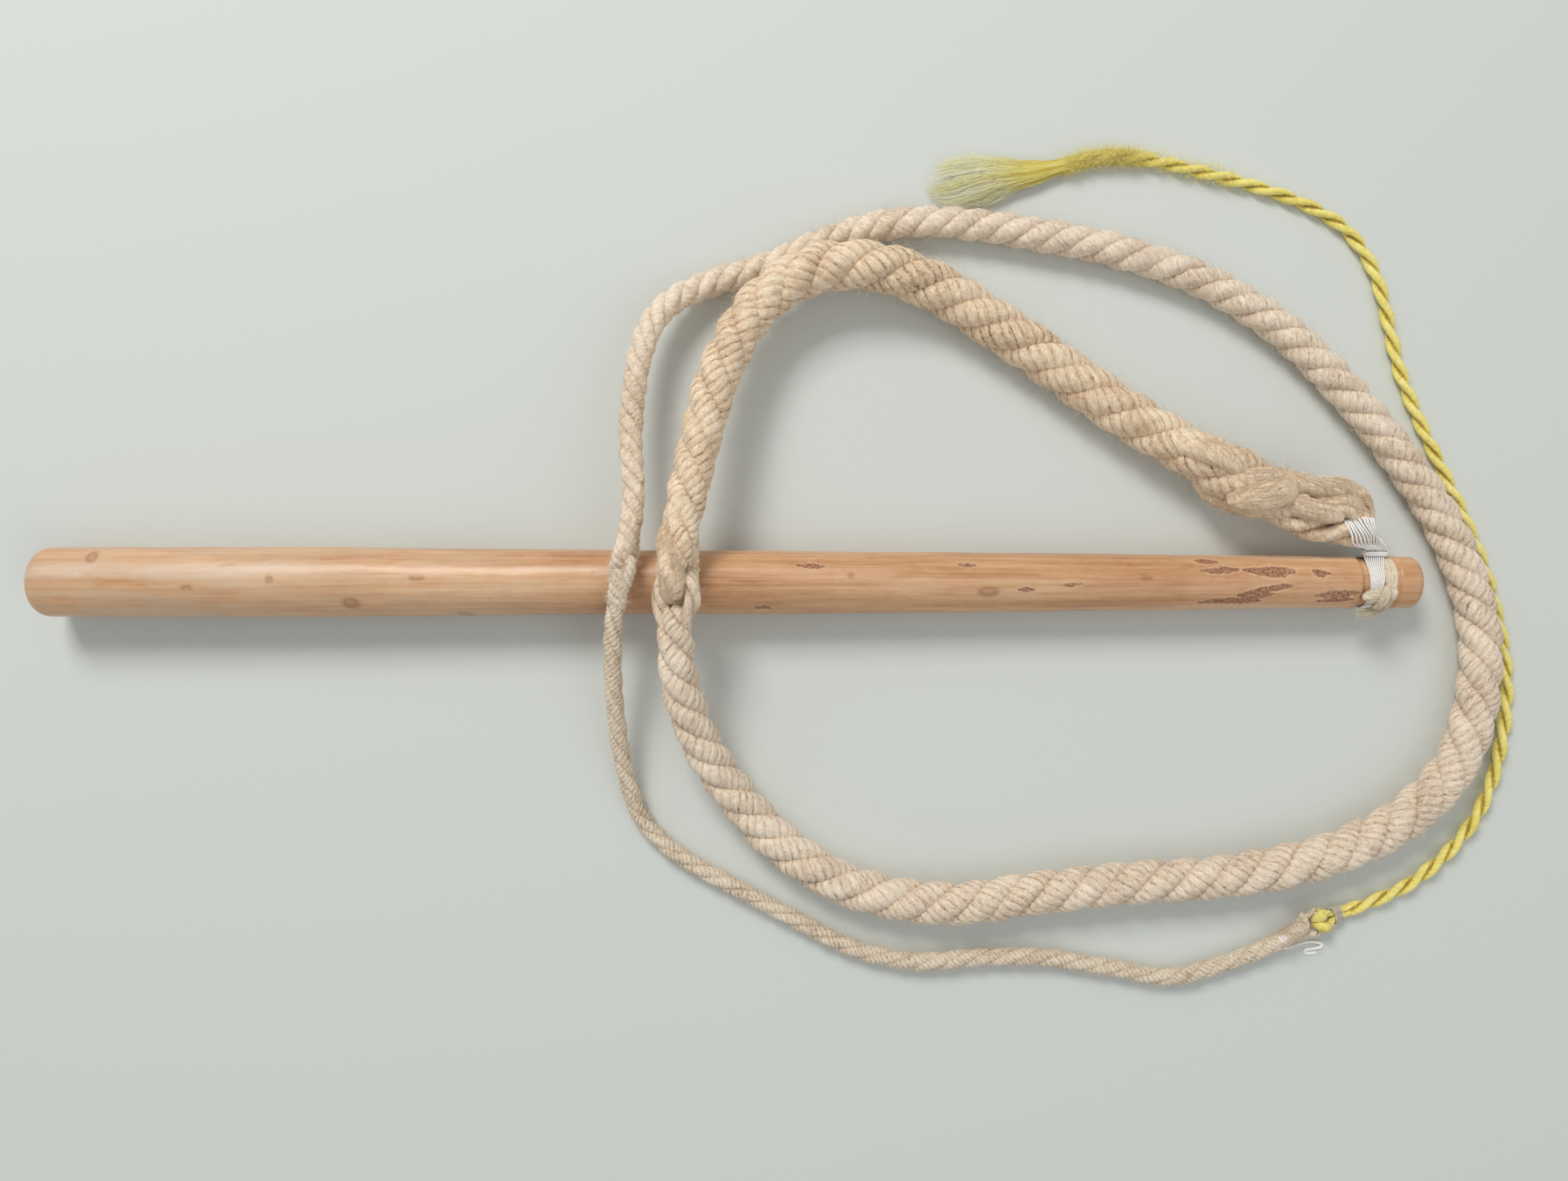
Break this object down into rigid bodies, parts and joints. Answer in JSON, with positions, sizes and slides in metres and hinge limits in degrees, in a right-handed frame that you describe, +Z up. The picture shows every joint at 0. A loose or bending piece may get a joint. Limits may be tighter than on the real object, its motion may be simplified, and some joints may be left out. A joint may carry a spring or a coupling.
{
  "type": "rope whip",
  "caption": "Laid-rope whip: a tapered natural-fibre rope hitched to a round wooden handle, ending in a twisted yellow cracker with a frayed tuft.",
  "frame": {"origin": "on the ground, under the middle of the handle's own bounding box", "axes": "+X along the handle towards the rope end, +Z up from the ground the whip lies on, +Y towards the side on which the rope leaves the handle"},
  "size_m": [0.7424, 0.4255, 0.0576],
  "materials": {
    "handle_wood": "peeled straight stick under a worn clear lacquer",
    "laid_rope": "laid natural-fibre rope, hairy, warm straw colour",
    "thin_rope": "thin laid rope, a little greyer",
    "white_twine": "waxed off-white twine",
    "cream_strip": "cream yarn strip, soft and fibrous",
    "yellow_cord": "two-ply twisted yellow fibre",
    "yellow_tuft": "combed-out yellow fibres"
  },
  "bodies": {
    "thong": {"hitch_loop": "white_twine", "neck_seizing": "white_twine", "hitch_tie": "cream_strip", "hitch_knot": "cream_strip", "knot_tail": "cream_strip", "rope_a_eye": "laid_rope", "rope_a_tuck": "laid_rope", "rope_a_splice": "laid_rope", "rope_a": "laid_rope", "rope_a_link_eye": "laid_rope", "rope_b_link_eye": "laid_rope", "rope_b_splice": "laid_rope", "rope_b": "laid_rope", "rope_b_end_eye": "thin_rope", "rope_c_eye": "thin_rope", "rope_c": "thin_rope", "rope_c_end_eye": "thin_rope", "tie_thread": "white_twine"},
    "handle": {"handle": "handle_wood"},
    "cracker": {"cracker_hitch": "yellow_cord", "cracker_whipping": "thin_rope", "cracker": "yellow_cord", "cracker_tuft": "yellow_tuft"}
  },
  "joints": [
    {"name": "hitch_swivel", "type": "hinge", "parent": "thong", "child": "handle", "pos_m": [0, 0, 0.01608], "axis": [1, 0, -0.0071], "continuous": true},
    {"name": "cracker_swing", "type": "hinge", "parent": "thong", "child": "cracker", "pos_m": [0.2945, -0.1735, 0.005], "axis": [0, 0, 1], "range_deg": [-40, 0]}
  ]
}
